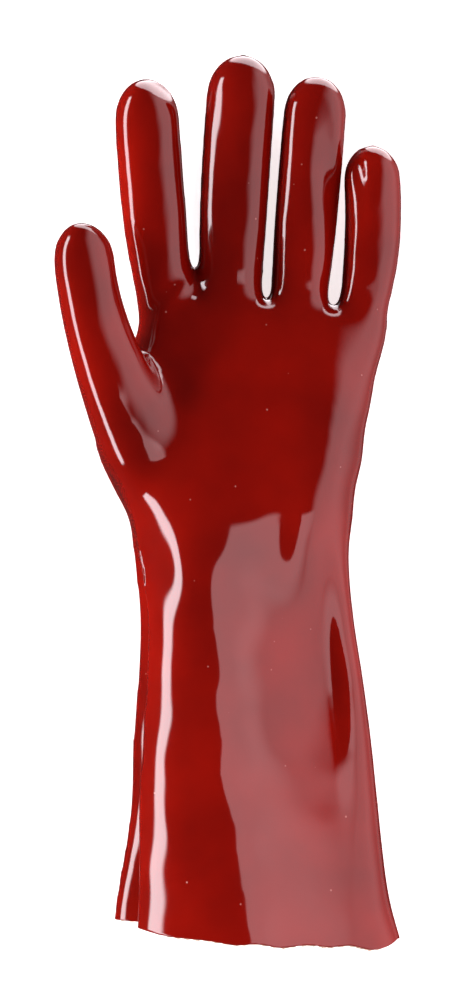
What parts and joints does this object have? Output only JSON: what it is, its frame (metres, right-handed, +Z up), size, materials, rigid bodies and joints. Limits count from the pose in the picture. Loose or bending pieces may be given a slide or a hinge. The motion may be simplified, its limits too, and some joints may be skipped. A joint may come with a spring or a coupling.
{
  "type": "pvc coated work glove",
  "caption": "Long cuffed left-hand work glove of glossy red dipped plastic over a knitted liner, lying palm up, hollow and open at its wavy cut hem.",
  "frame": {"origin": "under the middle of the glove's outline, on the surface that it lies on", "axes": "+X to the little finger, +Y from the cuff's hem to the fingertips, +Z up out of the palm"},
  "size_m": [0.1352, 0.3494, 0.06],
  "materials": {
    "pvc": "glossy dipped red PVC",
    "cotton": "cream knitted cotton"
  },
  "bodies": {
    "root": {"pvc_coating": "pvc", "cotton_lining": "cotton"}
  },
  "joints": []
}
